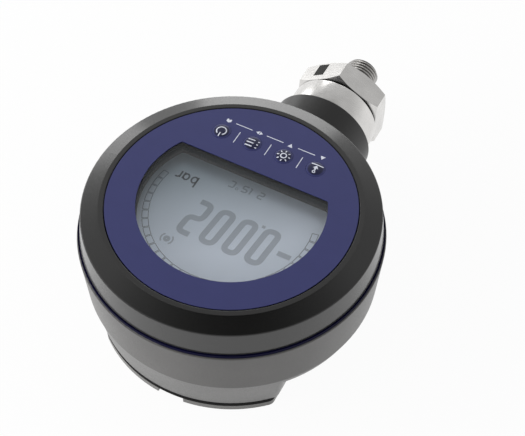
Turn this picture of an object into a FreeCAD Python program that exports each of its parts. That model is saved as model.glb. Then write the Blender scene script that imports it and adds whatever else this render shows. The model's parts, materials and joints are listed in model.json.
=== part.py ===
import FreeCAD, Part
import math
import os

from FreeCAD import Vector

# Digital pressure gauge, lying on its back. Millimetres.
# The battery cover rests on z = 0 and the face looks along +Z. The top of the display is toward +Y.
# The process connection leaves the case along -Y, on an axis one neck radius above the rest plane.

# Case, from the rest plane up
cover_t = 2.6            # battery cover plate
seal_t = 2.3             # seal between the cover and the battery bay
floor_step = 0.8         # rear floor of the case above the bay's ceiling
edge_fall = 4.3          # height of the tapering band round the rear edge
side_h = 19.1            # side wall, from the rear edge to the rim
trim_t = 1.1             # coloured ring between the body and the bezel
bezel_h = 10.9           # bezel, from the ring to the face

# Case, outward from the axis
case_r = 49.9            # body at its rim
side_draft = 1.0         # the side wall leans in by this much at the rear edge
edge_step = 0.3          # the band starts this far inside the rear edge
edge_in = 1.5            # and ends this far inside it
foot_step = 1.0          # the bezel's foot inside the body's rim
trim_step = 0.45         # the coloured ring inside the body's rim
bezel_draft = 1.1        # the bezel's wall leans in by this much at its shoulder
shoulder_in = 5.8        # sloping shoulder between the bezel's wall and its lip
lip_w = 1.6              # flat lip round the foil
foil_gap = 0.4           # open line between the lip and the foil
shoulder_fall = 2.1      # drop of the shoulder from the face to its outer edge
lip_step = 0.15          # the lip stands this proud of the shoulder
rim_round = 0.5          # rounded edges of the rim, the shoulder and the neck
edge_round = 0.4         # lower edge of the band
lip_round = 0.2          # inner edge of the lip
wall = 2.6               # moulded walls

# Bezel skirt and the screws that draw it down
skirt_drop = 4.2         # skirt inside the body
skirt_w = 3.6
skirt_gap = 0.2
boss_r = 3.2
boss_top_gap = 0.4       # the bosses stop this far under the frame's flange
column_r = 3.6
case_screw_len = 20.0
case_screw_r = 1.5
case_screw_angles = (10.0, 170.0, 225.0, 315.0)
screw_head_r = 2.75
screw_head_h = 3.0
head_sink = 0.4          # screw heads lie this far inside the surface
head_gap = 0.35          # room round a screw head
shank_gap = 0.2          # room round a screw in a clearance hole
socket_r = 1.25          # drive socket in a screw head
socket_depth = 1.4

# Display, from the face down
foil_t = 0.3
pane_t = 1.6
ledge_t = 3.8            # frame over the edge of the liquid crystal panel
lcd_t = 2.8
light_t = 2.5
board_t = 1.6
gasket_t = 0.4
flange_drop = 0.9        # the frame's flange under its upper face
flange_t = 1.6
flange_w = 2.7
blue_band = 9.7          # printed band between the window and the edge of the foil
key_field = 25.3         # printed field for the keys, from the foil's lower edge to the window
window_corner = 1.2
lcd_margin = 2.2         # the panel reaches this far under the frame
lcd_gap = 0.2
frame_in = 0.5           # the frame's lower body inside the foil's edge
board_in = 0.7

# Keys
key_pitch = 11.5
key_count = 4
key_drop = 9.9           # row of keys under the window
key_r = 3.1
key_t = 1.0
key_crown = 0.35         # rise of the dome
key_fit = 0.1            # running fit of a key in the foil
key_room = 0.3           # room round a key in the pane
key_travel = 0.5
plunger_r = 2.0
switch_w = 6.0
switch_h = 3.2
switch_tip_r = 1.6
switch_tip_h = 0.7
pocket_gap = 0.5

# Board fastening
board_screw_r = 1.25
board_screw_len = 6.0
board_screw_in = 3.4     # screws in from the edge of the frame
board_screw_angles = (40.0, 140.0, 222.0, 318.0)
board_head_r = 2.2
board_head_h = 1.6
post_r = 2.6
post_in = 5.2            # posts in from the edge of the board
post_angles = (20.0, 160.0, 200.0, 340.0)
chip_w = 12.0
chip_t = 1.5
chip_y = 12.0

# Battery bay
cell_r = 7.15            # AA cells
cell_len = 50.5
cell_pitch = 15.0
cell_count = 3
cell_clear = 0.3
nub_r = 2.75
nub_h = 1.3
contact_room = 4.6       # from a cell's end to the wall of the bay
contact_t = 0.5
contact_w = 9.0
contact_h = 10.0
contact_tail = 1.4       # free end of a contact leaf off the wall
arc_step = 1.7           # the bay's outer arc has a smaller radius than the rear edge, at the seal
arc_side = 1.9           # and its middle lies to the side of the case's axis
arc_back = 3.2           # and back from it
arc_top_step = 0.1       # radius step where the bay meets the rear edge
side_taper = 3.9         # the bay's ends lean in by this much
back_taper = 2.0         # and so does its inner side
bay_corner = 3.0
screw_bay = 8.6          # strip for the two inner cover screws
cover_gap = 0.15         # the cover stays inside the bay's outline
cover_end = 1.0          # and further inside at both ends
cover_bevel = 0.3
notch_w = 9.4            # finger notch at the top of the cover
notch_depth = 3.0
notch_corner = 1.0
cover_post_r = 3.4
cover_post_x = (22.0, 13.5)   # inner pair and outer pair
cover_screw_len = 8.0
cover_head_h = 1.3
rib_w = 1.4              # locating rib on the cover
rib_h = 2.4
rib_gap = 0.4

# Neck and the turning stem
neck_r = 19.3
neck_len = 19.7          # from the body's rim to the end of the neck
stem_r = 12.0
stem_fit = 0.05          # running fit of the stem in the neck
face_gap = 0.1           # running gap between end faces
chamber_room = 2.0       # behind the sensor's board
sensor_board_t = 1.2
sensor_board_r = 10.5
header_h = 2.0
header_r = 3.5
sensor_h = 4.0
sensor_r = 9.5
stop_in = 4.0            # stop pin from the end of the stem
stop_r = 1.5
stop_reach = 16.2        # outer end of the stop pin
stop_depth = 6.0
stop_gap = 0.7
turn_limit = 165.0       # the case turns this far each way
stop_clear = 1.3         # degrees between the pin and the lug at the limit
lug_gap = 0.4            # the lug's inner face outside the retaining ring
circlip_t = 1.2
circlip_r = 14.0
circlip_groove = 1.1
seal_ring_r = 1.2        # section radius of the stem's O-ring
seal_ring_in = 8.0       # from the end of the neck

# Process connection, outward from the neck
washer_t = 0.5
washer_r = 16.4
collar_h = 10.6
collar_r = 17.0
collar_round = 0.6
groove_h = 0.9
groove_r = 12.4
hex_h = 9.9
hex_across = 32.0
hex_turn = 118.3         # direction of one flat, up from +X
hex_bevel_angle = 30.0
undercut_w = 1.5
undercut_r = 5.7
thread_r = 6.5785        # G 1/4 B
thread_len = 15.2
thread_bevel = 0.9
spigot_r = 2.5
spigot_h = 2.0
port_r = 1.3
port_mouth = 0.4         # bevel at the mouth of the port

# Heights
bay_z = cover_t + seal_t
ceiling_z = bay_z + 2.0 * (cell_r + cell_clear)
cell_z = bay_z + cell_clear + cell_r
floor_z = ceiling_z + floor_step
cavity_z = floor_z + wall
edge_z = floor_z + edge_fall
rim_z = edge_z + side_h
bezel_z = rim_z + trim_t
front_z = bezel_z + bezel_h
skirt_z = rim_z - skirt_drop
pane_z = front_z - foil_t
frame_z = pane_z - pane_t
lcd_z = frame_z - ledge_t
light_z = lcd_z - lcd_t
board_z = light_z - light_t
board_back_z = board_z - board_t
flange_z = frame_z - flange_drop
flange_back_z = flange_z - flange_t
lip_z = flange_z + gasket_t
axis_z = neck_r

# Radii
edge_r = case_r - side_draft
floor_r = edge_r - edge_in
cavity_r = edge_r - wall
foot_r = case_r - foot_step
trim_r = case_r - trim_step
shoulder_r = foot_r - bezel_draft
lip_r = shoulder_r - shoulder_in
lip_in_r = lip_r - lip_w
foil_r = lip_in_r - foil_gap
flange_r = foil_r + flange_w
bezel_in_r = flange_r + foil_gap
skirt_r = bezel_in_r + skirt_w
frame_r = foil_r - frame_in
board_r = foil_r - board_in
window_r = foil_r - blue_band
window_chord = key_field - foil_r
screw_circle_r = skirt_r - boss_r
key_y = window_chord - key_drop
switch_tip_z = board_z + switch_h + switch_tip_h
plunger_z = switch_tip_z + key_travel + key_room
pocket_z = switch_tip_z + pocket_gap

# Battery bay, at the seal
bay_r = edge_r - arc_step
bay_half = cell_len / 2.0 + contact_room + wall
inner_half = bay_half - wall
inner_r = bay_r - wall
inner_corner = max(bay_corner - wall, rim_round)
straight_y = math.sqrt((inner_r - inner_corner) ** 2 - (inner_half - inner_corner + arc_side) ** 2) - arc_back
cell_top_y = straight_y - cell_clear - contact_w / 2.0
cell_rows = [cell_top_y - row * cell_pitch for row in range(cell_count)]
bay_back = cell_rows[-1] - cell_r - screw_bay - wall
cover_post_y = (bay_back + wall + cover_post_r, cell_rows[0] + cell_r + cover_post_r)
cover_screws = [(side * x, y) for x, y in zip(cover_post_x, cover_post_y) for side in (-1, 1)]

# Neck, as distances along -Y
neck_end = case_r + neck_len
chamber_end = -(bay_back - back_taper) + wall
sensor_board_end = chamber_end + chamber_room
stem_end = sensor_board_end + sensor_board_t + header_h + sensor_h
stop_y = stem_end + stop_in
circlip_y = stop_y + stop_r + stop_gap
tube_end = circlip_y + circlip_t + face_gap
chamber_r = stop_reach + stop_gap

# Process connection, as distances outward from the end of the neck
collar_s = face_gap + washer_t
groove_s = collar_s + collar_h
hex_s = groove_s + groove_h
thread_s = hex_s + hex_h
thread_end_s = thread_s + thread_len
spigot_end_s = thread_end_s + spigot_h
hex_corner_r = hex_across / math.sqrt(3.0)


def polar(radius, degrees):
    """Point on a circle round the case's axis."""
    turn = math.radians(degrees)
    return radius * math.cos(turn), radius * math.sin(turn)


def one_solid(shape):
    """The single solid that a chain of cuts and joins has to leave."""
    solids = shape.removeSplitter().Solids
    if len(solids) != 1:
        raise ValueError(f"{len(solids)} solids where one was meant")
    return solids[0]


def arc(start, middle, end):
    """Edge along an arc through three points."""
    return Part.Arc(start, middle, end).toShape()


def line(start, end):
    """Straight edge."""
    return Part.LineSegment(start, end).toShape()


def turned(profile):
    """Solid of revolution about Z from (radius, height) points. A third value rounds that corner."""
    corners = [Vector(point[0], 0, point[1]) for point in profile]
    edges, starts, ends = [], [], []
    for index, corner in enumerate(corners):
        start = end = corner
        if len(profile[index]) > 2:
            radius = profile[index][2]
            back = (corners[index - 1] - corner).normalize()
            ahead = (corners[(index + 1) % len(corners)] - corner).normalize()
            half = back.getAngle(ahead) / 2.0
            start = corner + back * (radius / math.tan(half))
            end = corner + ahead * (radius / math.tan(half))
            middle = corner + (back + ahead).normalize() * (radius / math.sin(half) - radius)
            edges.append(arc(start, middle, end))
        starts.append(start)
        ends.append(end)
    edges += [line(end, start) for end, start in zip(ends, starts[1:] + starts[:1])]
    face = Part.Face(Part.Wire(Part.__sortEdges__(edges)))
    return face.revolve(Vector(0, 0, 0), Vector(0, 0, 1), 360)


def disc(radius, low, high, x=0.0, y=0.0):
    """Round post or hole along Z between two heights."""
    return Part.makeCylinder(radius, high - low, Vector(x, y, low))


def ring(inner, outer, low, high):
    """Flat ring about Z."""
    return disc(outer, low, high).cut(disc(inner, low, high))


def block(width, depth, low, high, x=0.0, y=0.0):
    """Box along Z, centred on x, y."""
    return Part.makeBox(width, depth, high - low, Vector(x - width / 2, y - depth / 2, low))


def joined(shapes):
    """All shapes as one."""
    first, *rest = shapes
    return first.fuse(rest)


def on_neck(shape):
    """Carry a shape made along +Z onto the neck's axis, with its z = 0 at the end of the neck."""
    moved = shape.copy()
    moved.rotate(Vector(0, 0, 0), Vector(1, 0, 0), 90)
    moved.translate(Vector(0, -neck_end, axis_z))
    return moved


def inside(distance):
    """Height along the neck's axis of a plane that many millimetres from the case's axis."""
    return distance - neck_end


def bay_face(inset, lean, height, ends=0.0):
    """Outline of the battery bay: a round outer side, straight ends and round corners.

    inset draws it in all round, ends draws in its two ends, and lean, from 0 at the seal to 1 at the
    rear edge, opens its taper.
    """
    radius = bay_r + lean * (arc_step - arc_top_step) - inset
    mid_x = arc_side * (1.0 - lean)
    mid_y = -arc_back * (1.0 - lean)
    half = bay_half + lean * side_taper - inset - ends
    back = bay_back - lean * back_taper + inset
    corner = max(bay_corner - inset, rim_round)
    slant = corner * math.sqrt(0.5)

    def at(x, y):
        return Vector(x, y, height)

    edges = []
    touches = []
    for side, along in ((1, 0.0), (-1, math.pi)):
        cx = side * (half - corner)
        cy = mid_y + math.sqrt((radius - corner) ** 2 - (cx - mid_x) ** 2)
        turn = math.atan2(cy - mid_y, cx - mid_x)
        bend = (turn + along) / 2.0
        touches.append(at(mid_x + radius * math.cos(turn), mid_y + radius * math.sin(turn)))
        front_bend = at(cx + corner * math.cos(bend), cy + corner * math.sin(bend))
        back_bend = at(cx + side * slant, back + corner - slant)
        edges.append(arc(at(side * half, cy), front_bend, touches[-1]))
        edges.append(line(at(side * half, back + corner), at(side * half, cy)))
        edges.append(arc(at(cx, back), back_bend, at(side * half, back + corner)))
    edges.append(arc(touches[0], at(mid_x, mid_y + radius), touches[1]))
    edges.append(line(at(corner - half, back), at(half - corner, back)))
    return Part.Face(Part.Wire(Part.__sortEdges__(edges)))


def bay_plate(inset, low, high, ends=0.0):
    """Plate with the bay's outline at the seal."""
    return bay_face(inset, 0.0, low, ends).extrude(Vector(0, 0, high - low))


def window_plate(margin, low, high):
    """Plate with the window's outline, a circle with a straight lower edge, grown by a margin."""
    radius = window_r + margin
    chord = window_chord - margin
    corner = window_corner + margin
    cy = chord + corner
    cx = math.sqrt((radius - corner) ** 2 - cy ** 2)
    reach = radius / (radius - corner)
    half_turn = (math.atan2(cy, cx) - math.pi / 2.0) / 2.0
    bend_x = cx + corner * math.cos(half_turn)
    bend_y = cy + corner * math.sin(half_turn)
    round_edge = arc(
        Vector(cx * reach, cy * reach, low), Vector(0, radius, low), Vector(-cx * reach, cy * reach, low)
    )
    edges = [round_edge, line(Vector(-cx, chord, low), Vector(cx, chord, low))]
    for side in (1, -1):
        start = Vector(side * cx, chord, low)
        end = Vector(side * cx * reach, cy * reach, low)
        edges.append(arc(start, Vector(side * bend_x, bend_y, low), end))
    face = Part.Face(Part.Wire(Part.__sortEdges__(edges)))
    return face.extrude(Vector(0, 0, high - low))


def key_places():
    """Middle of each key, from display left to right."""
    first = -key_pitch * (key_count - 1) / 2.0
    return [(first + key_pitch * index, key_y) for index in range(key_count)]


def screw(shank_r, length, head_r, head_h, x, y, head_low):
    """Socket screw with its head below and its shank pointing up."""
    head = disc(head_r, head_low, head_low + head_h, x, y)
    shank = disc(shank_r, head_low + head_h, head_low + head_h + length, x, y)
    depth = min(socket_depth, head_h / 2.0)
    socket = disc(min(socket_r, head_r / 2.0), head_low, head_low + depth, x, y)
    return one_solid(head.fuse(shank).cut(socket))


def case_shell():
    """Outer form of the case: drafted drum, tapering battery bay and round neck."""
    drum = turned([
        (0, floor_z),
        (floor_r, floor_z, edge_round),
        (edge_r - edge_step, edge_z),
        (edge_r, edge_z),
        (case_r, rim_z, rim_round),
        (0, rim_z),
    ])
    bay_low = bay_face(0, 0, bay_z)
    bay_high = bay_face(0, 1, edge_z + edge_step)
    bay = Part.makeLoft([bay_low.OuterWire, bay_high.OuterWire], True, True)
    neck = on_neck(turned([
        (0, inside(-bay_back)),
        (neck_r, inside(-bay_back)),
        (neck_r, 0, rim_round),
        (0, 0),
    ]))
    return joined([drum, bay, neck])


def case_hollows():
    """Room for the display, the stem and the cells."""
    seat_z = skirt_z - skirt_gap
    stem = on_neck(disc(stem_r + stem_fit, inside(tube_end), 0))
    chamber = on_neck(disc(chamber_r, inside(chamber_end), inside(tube_end)))
    return joined([
        disc(cavity_r, cavity_z, rim_z),
        disc(skirt_r + skirt_gap, seat_z, rim_z),
        stem,
        chamber,
        bay_plate(wall, bay_z, ceiling_z),
    ])


def case_columns():
    """Columns for the bezel's screws and posts under the board, trimmed to the case."""
    columns = [disc(column_r, floor_z, skirt_z, *polar(screw_circle_r, turn)) for turn in case_screw_angles]
    posts = [disc(post_r, floor_z, board_back_z, *polar(board_r - post_in, turn)) for turn in post_angles]
    limit = disc(skirt_r + skirt_gap, floor_z, skirt_z)
    return joined([joined(columns).common(limit)] + posts)


def stop_lug():
    """Lug in the chamber that the stop pin meets at either end of its turn."""
    lug_r = circlip_r + lug_gap
    pin_half = math.degrees(math.asin(stop_r / lug_r))
    half = 180.0 - turn_limit - pin_half - stop_clear
    band = ring(lug_r, chamber_r + wall / 2.0, inside(stop_y - stop_r), inside(tube_end))
    wedge = Part.makeCylinder(
        neck_r, tube_end - stop_y + stop_r, Vector(0, 0, inside(stop_y - stop_r)), Vector(0, 0, 1), 2 * half
    )
    wedge.rotate(Vector(0, 0, 0), Vector(0, 0, 1), 270 - half)
    return on_neck(band.common(wedge))


def case_body():
    """Moulded body with its battery bay and neck in one piece."""
    body = case_shell().cut(case_hollows())
    cover_posts = [disc(cover_post_r, cover_t, ceiling_z, x, y) for x, y in cover_screws]
    reach = bay_plate(wall, cover_t, ceiling_z)
    body = joined([body, case_columns(), stop_lug()] + [post.common(reach) for post in cover_posts])
    seat_z = floor_z + head_sink + screw_head_h
    holes = []
    for turn in case_screw_angles:
        x, y = polar(screw_circle_r, turn)
        holes.append(disc(screw_head_r + head_gap, floor_z, seat_z, x, y))
        holes.append(disc(case_screw_r + shank_gap, seat_z, skirt_z, x, y))
    bite = cover_head_h + head_sink + cover_screw_len
    holes += [disc(case_screw_r, cover_t, bite + head_sink, x, y) for x, y in cover_screws]
    return one_solid(body.cut(joined(holes)))


def trim_ring():
    """Coloured ring between the body and the bezel."""
    return ring(skirt_r + skirt_gap, trim_r, rim_z, bezel_z)


def bezel_ring():
    """Bezel with a flat lip, a sloping shoulder, a drafted wall and a skirt inside the body."""
    frame = turned([
        (lip_in_r, lip_z),
        (lip_in_r, front_z, lip_round),
        (lip_r, front_z),
        (lip_r, front_z - lip_step),
        (shoulder_r, front_z - shoulder_fall, rim_round),
        (foot_r, bezel_z),
        (skirt_r, bezel_z),
        (skirt_r, skirt_z),
        (bezel_in_r, skirt_z),
        (bezel_in_r, lip_z),
    ])
    top = flange_back_z - boss_top_gap
    places = [polar(screw_circle_r, turn) for turn in case_screw_angles]
    bosses = [disc(boss_r, skirt_z, top, x, y) for x, y in places]
    bite = floor_z + head_sink + screw_head_h + case_screw_len
    holes = [disc(case_screw_r, skirt_z, bite + head_sink, x, y) for x, y in places]
    return one_solid(joined([frame] + bosses).cut(joined(holes)))


def front_foil():
    """Printed foil with the window and the four key openings."""
    keys = [disc(key_r + key_fit, pane_z, front_z, x, y) for x, y in key_places()]
    return one_solid(disc(foil_r, pane_z, front_z).cut(joined([window_plate(0, pane_z, front_z)] + keys)))


def front_pane():
    """Clear pane under the foil."""
    keys = [disc(key_r + key_room, frame_z, pane_z, x, y) for x, y in key_places()]
    return one_solid(disc(foil_r, frame_z, pane_z).cut(joined(keys)))


def pane_gasket():
    """Flat gasket between the display frame's flange and the bezel's lip."""
    return ring(foil_r, flange_r, flange_z, lip_z)


def display_frame():
    """Black carrier of the pane, the panel and its light, with a pocket for each switch."""
    body = joined([
        disc(frame_r, board_z, flange_back_z),
        disc(flange_r, flange_back_z, flange_z),
        disc(foil_r, flange_z, frame_z),
    ])
    cuts = [window_plate(0, lcd_z, frame_z), window_plate(lcd_margin, board_z, lcd_z)]
    pocket_w = switch_w + 2 * pocket_gap
    for x, y in key_places():
        cuts.append(block(pocket_w, pocket_w, board_z, pocket_z, x, y))
        cuts.append(disc(plunger_r + key_room, pocket_z, frame_z, x, y))
    bite = board_back_z + board_screw_len + head_sink
    for turn in board_screw_angles:
        cuts.append(disc(board_screw_r, board_z, bite, *polar(frame_r - board_screw_in, turn)))
    return one_solid(body.cut(joined(cuts)))


def lcd_panel():
    """Liquid crystal panel in the frame's pocket."""
    return window_plate(lcd_margin - lcd_gap, light_z, lcd_z)


def backlight_panel():
    """Light guide behind the panel."""
    return window_plate(lcd_margin - lcd_gap, board_z, light_z)


def main_board():
    """Round circuit board that closes the frame from behind."""
    holes = [
        disc(board_screw_r + shank_gap, board_back_z, board_z, *polar(frame_r - board_screw_in, turn))
        for turn in board_screw_angles
    ]
    return one_solid(disc(board_r, board_back_z, board_z).cut(joined(holes)))


def controller_chip():
    """Controller on the back of the board."""
    return block(chip_w, chip_w, board_back_z - chip_t, board_back_z, 0, chip_y)


def key_switches():
    """Short-travel switches on the board, one under each key."""
    switches = []
    for x, y in key_places():
        body = block(switch_w, switch_w, board_z, board_z + switch_h, x, y)
        switches.append(one_solid(body.fuse(disc(switch_tip_r, board_z + switch_h, switch_tip_z, x, y))))
    return Part.makeCompound(switches)


def key(x, y):
    """Domed key with its plunger."""
    edge_low = front_z - key_t
    dome_r = (key_r ** 2 + key_crown ** 2) / (2.0 * key_crown)
    dome = Part.makeSphere(dome_r, Vector(x, y, front_z + key_crown - dome_r))
    cap = disc(key_r, edge_low, front_z + key_crown, x, y).common(dome)
    return one_solid(cap.fuse(disc(plunger_r, plunger_z, edge_low, x, y)))


def board_screws():
    """Screws that hold the board to the frame."""
    screws = []
    for turn in board_screw_angles:
        x, y = polar(frame_r - board_screw_in, turn)
        low = board_back_z - board_head_h
        screws.append(screw(board_screw_r, board_screw_len, board_head_r, board_head_h, x, y, low))
    return Part.makeCompound(screws)


def case_screws():
    """Screws that draw the bezel down, from the back of the case."""
    screws = []
    for turn in case_screw_angles:
        x, y = polar(screw_circle_r, turn)
        low = floor_z + head_sink
        screws.append(screw(case_screw_r, case_screw_len, screw_head_r, screw_head_h, x, y, low))
    return Part.makeCompound(screws)


def battery_cells():
    """Three round cells side by side, every other one turned about."""
    cells = []
    body_len = cell_len - nub_h
    for row, y in enumerate(cell_rows):
        facing = 1 if row % 2 == 0 else -1
        start = Vector(-facing * cell_len / 2.0, y, cell_z)
        along = Vector(facing, 0, 0)
        can = Part.makeCylinder(cell_r, body_len, start, along)
        nub = Part.makeCylinder(nub_r, nub_h, start + along * body_len, along)
        cells.append(one_solid(can.fuse(nub)))
    return Part.makeCompound(cells)


def battery_contacts():
    """Bent contact leaf at both ends of every cell, its back on the wall of the bay."""
    contacts = []
    top = contact_h / 2.0
    tip = contact_room
    for y in cell_rows:
        for side in (1, -1):
            profile = [
                (0, -top), (0, top), (contact_t, top), (tip, contact_t), (tip, -contact_t),
                (contact_tail, -top), (contact_tail, -top + contact_t), (tip - contact_t, 0),
                (contact_t, top - 2 * contact_t), (contact_t, -top),
            ]
            low_y = y - contact_w / 2.0
            points = [Vector(side * (inner_half - out), low_y, cell_z + up) for out, up in profile]
            face = Part.Face(Part.makePolygon(points + points[:1]))
            contacts.append(face.extrude(Vector(0, contact_w, 0)))
    return Part.makeCompound(contacts)


def cover_seal():
    """Black seal that shows as a line between the battery bay and its cover."""
    return one_solid(bay_plate(cover_gap, cover_t, bay_z, cover_end).cut(bay_plate(wall, cover_t, bay_z)))


def battery_cover():
    """Cover with a bevelled edge, a finger notch, sunk screw holes and a locating rib."""
    low = bay_face(cover_gap + cover_bevel, 0, 0, cover_end)
    high = bay_face(cover_gap, 0, cover_bevel, cover_end)
    bevel = Part.makeLoft([low.OuterWire, high.OuterWire], True, True)
    plate = bevel.fuse(bay_plate(cover_gap, cover_bevel, cover_t, cover_end))
    rib_top = cover_t + rib_h
    rib = bay_plate(wall + rib_gap, cover_t, rib_top).cut(bay_plate(wall + rib_gap + rib_w, cover_t, rib_top))
    rib = rib.cut(joined([disc(cover_post_r + rib_gap, cover_t, rib_top, x, y) for x, y in cover_screws]))
    notch_y = math.sqrt((bay_r - cover_gap) ** 2 - arc_side ** 2) - arc_back
    notch = block(notch_w, 2.0 * notch_depth, 0, cover_t, 0, notch_y)
    notch = notch.makeFillet(notch_corner, [edge for edge in notch.Edges if abs(edge.tangentAt(0).z) > 0.9])
    cuts = [notch]
    for x, y in cover_screws:
        cuts.append(disc(screw_head_r + head_gap, 0, head_sink + cover_head_h, x, y))
        cuts.append(disc(case_screw_r + shank_gap, 0, cover_t, x, y))
    return one_solid(plate.fuse(rib).cut(joined(cuts)))


def cover_screw_set():
    """Screws of the battery cover."""
    return Part.makeCompound([
        screw(case_screw_r, cover_screw_len, screw_head_r, cover_head_h, x, y, head_sink)
        for x, y in cover_screws
    ])


def hexagon():
    """Spanner flats with bevelled corners, on the connection's own axis."""
    corners = []
    for index in range(7):
        turn = math.radians(hex_turn + 30.0 + 60.0 * index)
        corners.append(Vector(hex_corner_r * math.cos(turn), hex_corner_r * math.sin(turn), hex_s))
    prism = Part.Face(Part.makePolygon(corners)).extrude(Vector(0, 0, hex_h))
    face_r = hex_across / 2.0
    fall = (hex_corner_r - face_r) * math.tan(math.radians(hex_bevel_angle))
    limit = turned([
        (0, hex_s),
        (face_r, hex_s),
        (hex_corner_r, hex_s + fall),
        (hex_corner_r, thread_s - fall),
        (face_r, thread_s),
        (0, thread_s),
    ])
    return prism.common(limit)


def process_connection():
    """Turned steel stem, collar, spanner flats, thread cylinder and spigot, with the pressure port."""
    lathe = turned([
        (0, inside(stem_end)),
        (stem_r, inside(stem_end)),
        (stem_r, collar_s),
        (collar_r, collar_s, collar_round),
        (collar_r, groove_s, collar_round),
        (groove_r, groove_s),
        (groove_r, hex_s),
        (undercut_r, thread_s),
        (undercut_r, thread_s + undercut_w),
        (thread_r, thread_s + undercut_w + thread_r - undercut_r),
        (thread_r, thread_end_s - thread_bevel),
        (thread_r - thread_bevel, thread_end_s),
        (spigot_r, thread_end_s),
        (spigot_r, spigot_end_s),
        (0, spigot_end_s),
    ])
    port = turned([
        (0, inside(stem_end)),
        (port_r, inside(stem_end)),
        (port_r, spigot_end_s - port_mouth),
        (port_r + port_mouth, spigot_end_s),
        (0, spigot_end_s),
    ])
    seal_low = -seal_ring_in - seal_ring_r
    cuts = [
        port,
        ring(stem_r - 2 * seal_ring_r, stem_r + seal_ring_r, seal_low, seal_low + 2 * seal_ring_r),
        ring(stem_r - circlip_groove, stem_r + seal_ring_r, inside(circlip_y), inside(circlip_y + circlip_t)),
        stop_pin_body(),
    ]
    return on_neck(one_solid(lathe.fuse(hexagon()).cut(joined(cuts))))


def stop_pin_body():
    """The stop pin on the connection's own axis."""
    start = stop_reach - stop_depth - (stop_reach - stem_r)
    return Part.makeCylinder(stop_r, stop_reach - start, Vector(0, start, inside(stop_y)), Vector(0, 1, 0))


def stop_pin():
    """Pin in the stem that limits the turn of the case."""
    return on_neck(stop_pin_body())


def stem_seal():
    """O-ring between the stem and the neck."""
    return on_neck(Part.makeTorus(stem_r - seal_ring_r, seal_ring_r, Vector(0, 0, -seal_ring_in)))


def retaining_ring():
    """Ring in the stem's groove that keeps the stem in the neck."""
    return on_neck(ring(stem_r - circlip_groove, circlip_r, inside(circlip_y), inside(circlip_y + circlip_t)))


def slip_washer():
    """Washer on the collar that the neck turns against."""
    return on_neck(ring(stem_r, washer_r, face_gap, collar_s))


def sensor_cell():
    """Pressure cell on the end of the stem, with its header."""
    face = inside(stem_end)
    capsule = disc(sensor_r, face - sensor_h, face)
    return on_neck(one_solid(capsule.fuse(disc(header_r, face - sensor_h - header_h, face - sensor_h))))


def sensor_board():
    """Round signal board on the sensor's header."""
    low = inside(sensor_board_end)
    return on_neck(disc(sensor_board_r, low, low + sensor_board_t))


key_names = ("key_zero", "key_light", "key_menu", "key_power")

parts = {
    "case_body": case_body(),
    "trim_ring": trim_ring(),
    "bezel_ring": bezel_ring(),
    "front_foil": front_foil(),
    "front_pane": front_pane(),
    "pane_gasket": pane_gasket(),
    "display_frame": display_frame(),
    "lcd_panel": lcd_panel(),
    "backlight_panel": backlight_panel(),
    "main_board": main_board(),
    "controller_chip": controller_chip(),
    "key_switches": key_switches(),
    "board_screws": board_screws(),
    "case_screws": case_screws(),
    "battery_cells": battery_cells(),
    "battery_contacts": battery_contacts(),
    "cover_seal": cover_seal(),
    "battery_cover": battery_cover(),
    "cover_screws": cover_screw_set(),
    "process_connection": process_connection(),
    "stop_pin": stop_pin(),
    "stem_seal": stem_seal(),
    "retaining_ring": retaining_ring(),
    "slip_washer": slip_washer(),
    "sensor_cell": sensor_cell(),
    "sensor_board": sensor_board(),
}
for name, place in zip(key_names, key_places()):
    parts[name] = key(*place)

os.makedirs("parts", exist_ok=True)
for name, shape in parts.items():
    shape.exportStep(f"parts/{name}.step")
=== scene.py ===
import json
import math

import bpy
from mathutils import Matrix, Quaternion, Vector


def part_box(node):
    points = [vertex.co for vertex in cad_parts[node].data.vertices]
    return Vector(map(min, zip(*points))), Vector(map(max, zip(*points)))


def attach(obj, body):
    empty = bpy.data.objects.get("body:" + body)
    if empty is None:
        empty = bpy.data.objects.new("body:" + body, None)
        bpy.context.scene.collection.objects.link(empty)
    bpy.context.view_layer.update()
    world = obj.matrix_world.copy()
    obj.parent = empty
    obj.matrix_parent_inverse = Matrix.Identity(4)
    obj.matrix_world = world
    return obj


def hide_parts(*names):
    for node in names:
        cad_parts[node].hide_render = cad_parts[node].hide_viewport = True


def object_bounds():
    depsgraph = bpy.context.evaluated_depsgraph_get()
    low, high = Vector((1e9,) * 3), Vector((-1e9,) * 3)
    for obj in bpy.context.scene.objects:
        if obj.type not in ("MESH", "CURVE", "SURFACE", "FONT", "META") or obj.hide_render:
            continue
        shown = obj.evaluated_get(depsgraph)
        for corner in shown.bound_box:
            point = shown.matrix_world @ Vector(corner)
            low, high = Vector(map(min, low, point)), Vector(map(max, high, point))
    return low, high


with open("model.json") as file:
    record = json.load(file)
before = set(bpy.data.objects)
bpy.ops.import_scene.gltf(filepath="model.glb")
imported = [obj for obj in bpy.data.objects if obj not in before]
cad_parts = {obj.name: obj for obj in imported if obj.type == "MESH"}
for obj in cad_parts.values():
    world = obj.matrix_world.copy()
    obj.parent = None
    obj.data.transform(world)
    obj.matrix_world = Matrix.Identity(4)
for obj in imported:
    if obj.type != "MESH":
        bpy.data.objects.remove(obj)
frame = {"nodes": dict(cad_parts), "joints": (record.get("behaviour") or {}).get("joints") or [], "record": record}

cad_low, cad_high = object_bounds()
nodes = frame["nodes"]
mm = 0.001

# Places read from the frame, in millimetres


def node_box(name):
    """Lowest and highest corner of a CAD node, in millimetres."""
    low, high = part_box(name)
    return low / mm, high / mm


front_z = node_box("front_foil")[1].z
lcd_z = node_box("lcd_panel")[1].z
case_r = node_box("case_body")[1].x
swivel = next(joint for joint in frame["joints"] if joint["name"] == "case_swivel")
thread_mount = next(mount for mount in frame["record"]["mounts"] if mount["name"] == "process_thread")
neck_end = -swivel["pos_m"][1] / mm
axis_z = swivel["pos_m"][2] / mm


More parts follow.
